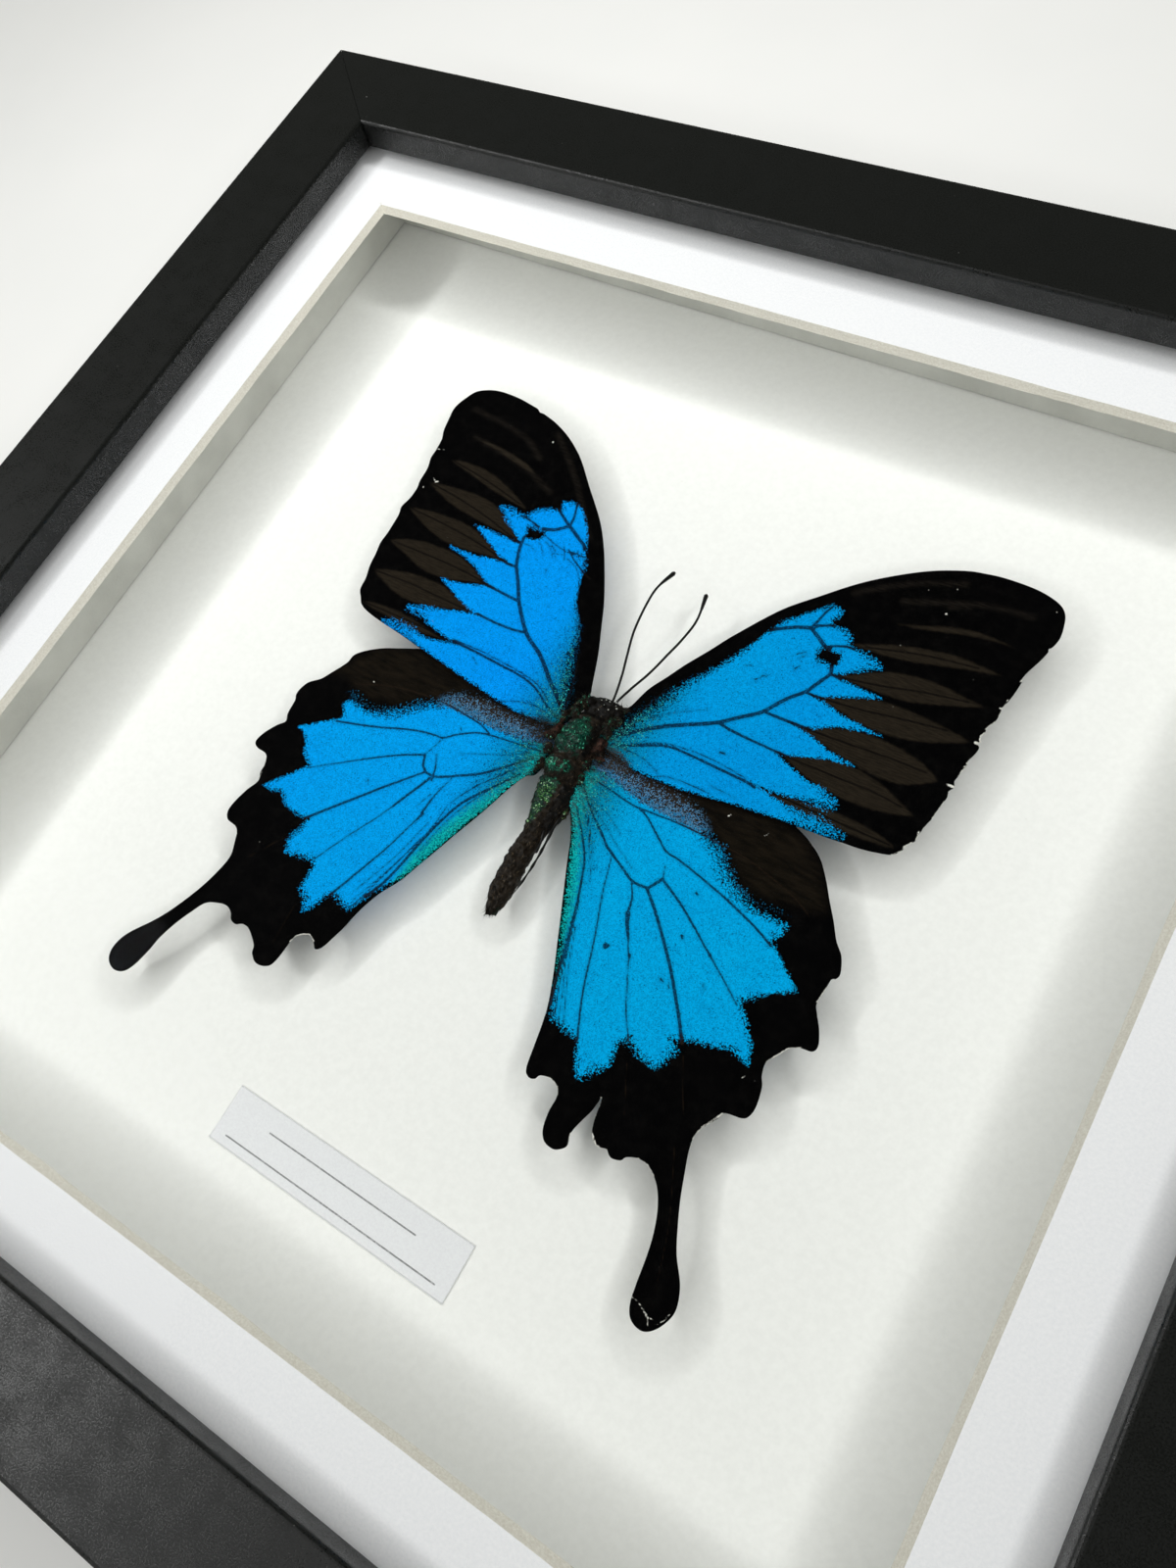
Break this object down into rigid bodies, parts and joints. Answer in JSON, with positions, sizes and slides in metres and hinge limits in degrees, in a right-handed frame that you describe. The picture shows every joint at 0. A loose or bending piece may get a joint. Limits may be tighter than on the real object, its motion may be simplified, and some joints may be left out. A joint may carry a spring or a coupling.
{
  "type": "framed butterfly specimen",
  "caption": "Spread blue swallowtail butterfly mounted behind glass in a deep square black box frame with a white window mat.",
  "frame": {"origin": "on the surface the frame lies on, under the middle of its back", "axes": "+Z out of the back through the glass, +Y from the butterfly's tail towards its head, +X to the right when seen from the front"},
  "size_m": [0.25, 0.25, 0.04],
  "materials": {
    "rail_foil": "satin black foil over fibreboard, finely grained, edges slightly rounded",
    "glass": "clear picture glass, 2 mm, bare edges",
    "mat_board": "smooth white mat board with a cream core shown on its bevelled window edge",
    "foam_strip": "white foam board strips, matt",
    "backing_board": "matt white paper-faced board",
    "back_panel": "bare brown hardboard",
    "steel_point": "bright spring steel",
    "label_paper": "plain white paper slip, no lettering",
    "foam_pad": "white foam",
    "body_fur": "black and brown fur and scales with green metallic patches",
    "forewing_scales": "velvet black scales with an iridescent blue field and brown hair patches",
    "hindwing_scales": "velvet black scales with an iridescent blue field",
    "antenna": "black, dull"
  },
  "bodies": {
    "root": {"rail_top": "rail_foil", "rail_bottom": "rail_foil", "rail_left": "rail_foil", "rail_right": "rail_foil", "glass_pane": "glass", "window_mat": "mat_board", "spacer_top": "foam_strip", "spacer_bottom": "foam_strip", "spacer_left": "foam_strip", "spacer_right": "foam_strip", "backing_board": "backing_board", "back_panel": "back_panel", "point_top_1": "steel_point", "point_top_2": "steel_point", "point_bottom_1": "steel_point", "point_bottom_2": "steel_point", "point_left_1": "steel_point", "point_left_2": "steel_point", "point_right_1": "steel_point", "point_right_2": "steel_point", "label": "label_paper", "thorax_pad": "foam_pad", "butterfly_body": "body_fur", "forewing_left": "forewing_scales", "forewing_right": "forewing_scales", "hindwing_left": "hindwing_scales", "hindwing_right": "hindwing_scales", "antenna_left": "antenna", "antenna_right": "antenna"}
  },
  "joints": []
}
